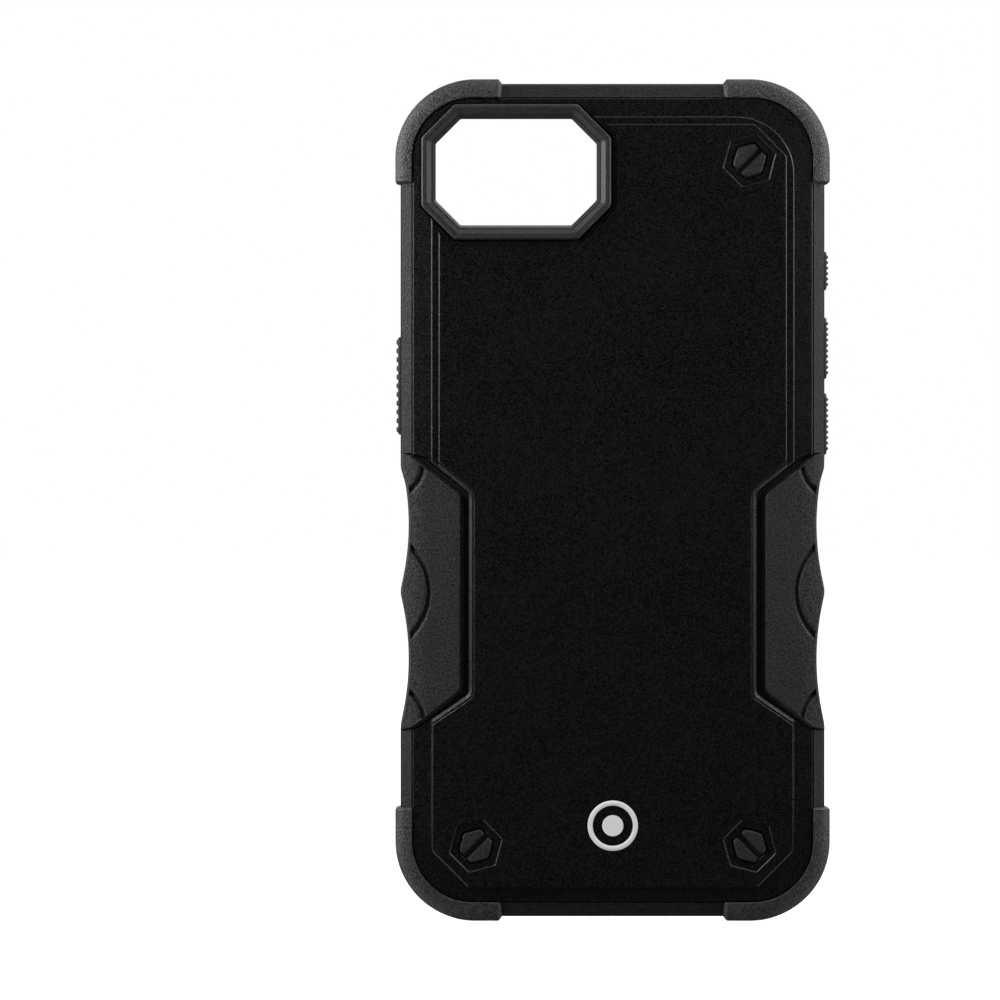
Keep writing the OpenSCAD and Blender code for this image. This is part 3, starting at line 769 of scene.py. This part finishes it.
# One bumper as rows of closed profiles along the body's edge: out along the end wall, round the
# corner (radius less the inset) and down the side wall. A row is melted from the body's own
# surface to the full profile by a share that grows from 0 to 1 at each end.
def bumperGrid(signX, signZ):
    front, corner = caseDepth, sleeve["corner"]
    p = bumper["side"]
    inside = [(2.1, front - 1), (1.2, 9.6), (1.2, 3.1), (2.0, 2.4)]
    full = [(1.84, 1.7), (1.8, 0.52), (0.2, 0.84), (-p, 1.76), (-p, 9.25), (1.3, front - 0.03),
            (1.78, front - 0.05)]
    flat = [(1.84, 1.9), (1.8, 1.45), (0.95, 1.88), (0.12, 2.32), (0.12, 10.1), (1.65, front - 0.2),
            (1.78, front - 0.2)]
    full, flat = (eased(rows + inside, bumper["rounding"], 6) for rows in (full, flat))
    close = np.linspace(0, 1.2, 17)
    cx, cz = halfW - corner, halfH - corner
    along = np.r_[bumper["acrossFrom"] - cx + close, np.linspace(bumper["acrossFrom"] - cx + 1.5, -0.2, 6)]
    turn = np.linspace(0, math.pi / 2, 41)
    length = halfH - (bumper["down"] if signZ > 0 else bumper["up"]) - cz
    down = np.r_[np.linspace(-0.2, length + 1.5, 6), length + close[::-1]]
    angle = np.r_[0 * along, turn, 0 * down + math.pi / 2]
    a = np.r_[along, 0 * turn, 0 * down]
    b = np.r_[0 * along, 0 * turn, down]
    rampA = np.clip((along - along[0]) / bumper["ramp"], 0, 1)
    rampB = np.clip((down - down[-1]) / bumper["blunt"], 0, 1)
    share = np.r_[rampA * rampA * (3 - 2 * rampA), 1 + 0 * turn, (1 - (1 - rampB) ** 2.4) ** (1 / 2.4)]
    proud = bumper["end"] + (bumper["side"] - bumper["end"]) * np.sin(angle) ** 2
    inset = np.where(full[:, 0] < 0, full[:, 0] * (proud / bumper["side"])[:, None], full[:, 0])
    inset = flat[:, 0] + (inset - flat[:, 0]) * share[:, None]
    depth = flat[:, 1] + (full[:, 1] - flat[:, 1]) * share[:, None]
    reach = (sleeveHigh[2] - shellHigh[2] - 0.06 - 0.5 * np.sin(angle)) / 1.8
    inset = np.where((inset > 0) & (depth < 2), inset * reach[:, None], inset)
    x = cx + a[:, None] + (corner - inset) * np.sin(angle)[:, None]
    z = cz + b[:, None] + (corner - inset) * np.cos(angle)[:, None]
    return np.stack([signX * x, panelY + depth, midZ + signZ * z], -1)


def makeBumpers():
    for node, (signX, signZ) in bumperNodes.items():
        ready(solid(node + "_guard", bumperGrid(signX, signZ)), "case", node, "bumper_rubber", 40)


button = {
    "corner": 1.1, "ribHigh": 0.3, "ribEnds": 0.4, "margin": 1.6,
    "pitch": {"action_button": 1.0, "volume_up_button": 1.0, "volume_down_button": 1.0, "side_button": 1.6},
}
web = {"outside": 0.93, "inside": 0.04, "outerX": (37.45, 37.75), "innerX": (38.15, 38.45)}


# A bar with rounded edges and a row of ribs, and round it a skirt: a closed S-shaped profile
# carried round the button's outline, reaching from the case outside to the button inside.
def makeButton(node, side, webNode):
    low, high = (np.array(corner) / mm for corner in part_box(node))
    far, near = max(abs(low[0]), abs(high[0])), min(abs(low[0]), abs(high[0]))
    face = far - button["ribHigh"]
    outline = rectangle(low[1], high[1], low[2], high[2])
    rows = [(0.12, near), (0, near + 0.15), (0, face - 0.34), (0.04, face - 0.17), (0.14, face - 0.05),
            (0.3, face)]
    piece = solid(node + "_bar", barGrid(outline, rows, button["corner"], side, 8))
    length, pitch = high[2] - low[2], button["pitch"][node]
    count = math.floor((length - button["margin"]) / pitch) + 1
    middleZ = (low[2] + high[2]) / 2
    start, end = low[1] + button["ribEnds"], high[1] - button["ribEnds"]
    rows = [(-0.02, face - 0.2), (-0.02, face + 0.02), (0.03, face + 0.16), (0.1, face + 0.26),
            (0.2, face + button["ribHigh"])]
    ribs = []
    for k in range(count):
        z = middleZ + (k - (count - 1) / 2) * pitch
        rib = rectangle(start, end, z - 0.3 * pitch, z + 0.3 * pitch)
        ribs.append(barGrid(rib, rows, 0.2, side, 3))
    combine(piece, solid("ribs", *ribs), "UNION")
    ready(piece, node, node, "button_rubber", 40)
    outer, inner, reach, gap = web["outerX"], web["innerX"], web["outside"], web["inside"]
    rows = [(-reach, outer[0]), (-reach, outer[1]), (-0.7, outer[1] + 0.06),
            (-0.45, 0.5 * (outer[1] + inner[1])), (-0.2, inner[1] - 0.05), (-gap, inner[1]),
            (-gap, inner[0]), (-0.22, inner[0] - 0.02), (-0.47, 0.5 * (outer[0] + inner[0])),
            (-0.72, outer[0] + 0.04)]
    grid = barGrid(outline, rows, button["corner"], side, 8).transpose(1, 0, 2)
    skirt = solid(webNode + "_skirt", grid, hoop=True)
    ready(skirt, None, webNode, "web_rubber", 60)
    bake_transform(skirt)


makeRing()
makeSleeve()
print("ring and sleeve are made")
makeShell()
makeStuds()
makeBadge()
print("shell, studs and badge are made")
makeGrips()
makeBumpers()
print("grips and bumpers are made")
for node, (side, webNode) in buttons.items():
    makeButton(node, side, webNode)
print("buttons and webs are made")
